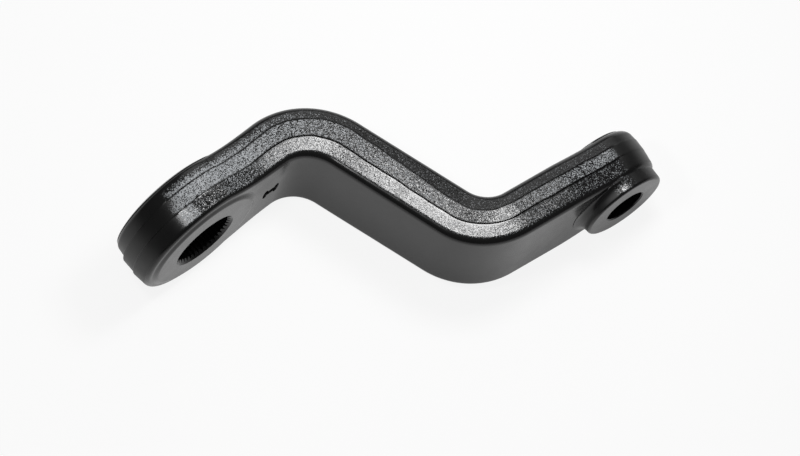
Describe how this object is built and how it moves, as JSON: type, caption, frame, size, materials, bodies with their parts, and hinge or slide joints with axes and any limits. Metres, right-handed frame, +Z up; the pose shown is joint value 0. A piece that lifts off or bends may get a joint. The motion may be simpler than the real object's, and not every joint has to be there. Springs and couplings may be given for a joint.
{
  "type": "pitman arm",
  "caption": "Black-coated forged steering arm, Z-bent to give a drop, with a serrated big eye and a tapered ball-stud eye.",
  "frame": {"origin": "middle of the underside of its box, on the surface it lies on", "axes": "+Z up, away from the flank it lies on; +X from the serrated eye to the ball-stud eye; -Y to the side the arm drops to, where the shaft nut sits"},
  "size_m": [0.2288, 0.1354, 0.0689],
  "materials": {
    "black_coat": "black coat over a shot-blasted forging, satin on the flat faces and sparkling on the rough edge"
  },
  "bodies": {
    "root": {"pitman_arm": "black_coat"}
  },
  "joints": []
}
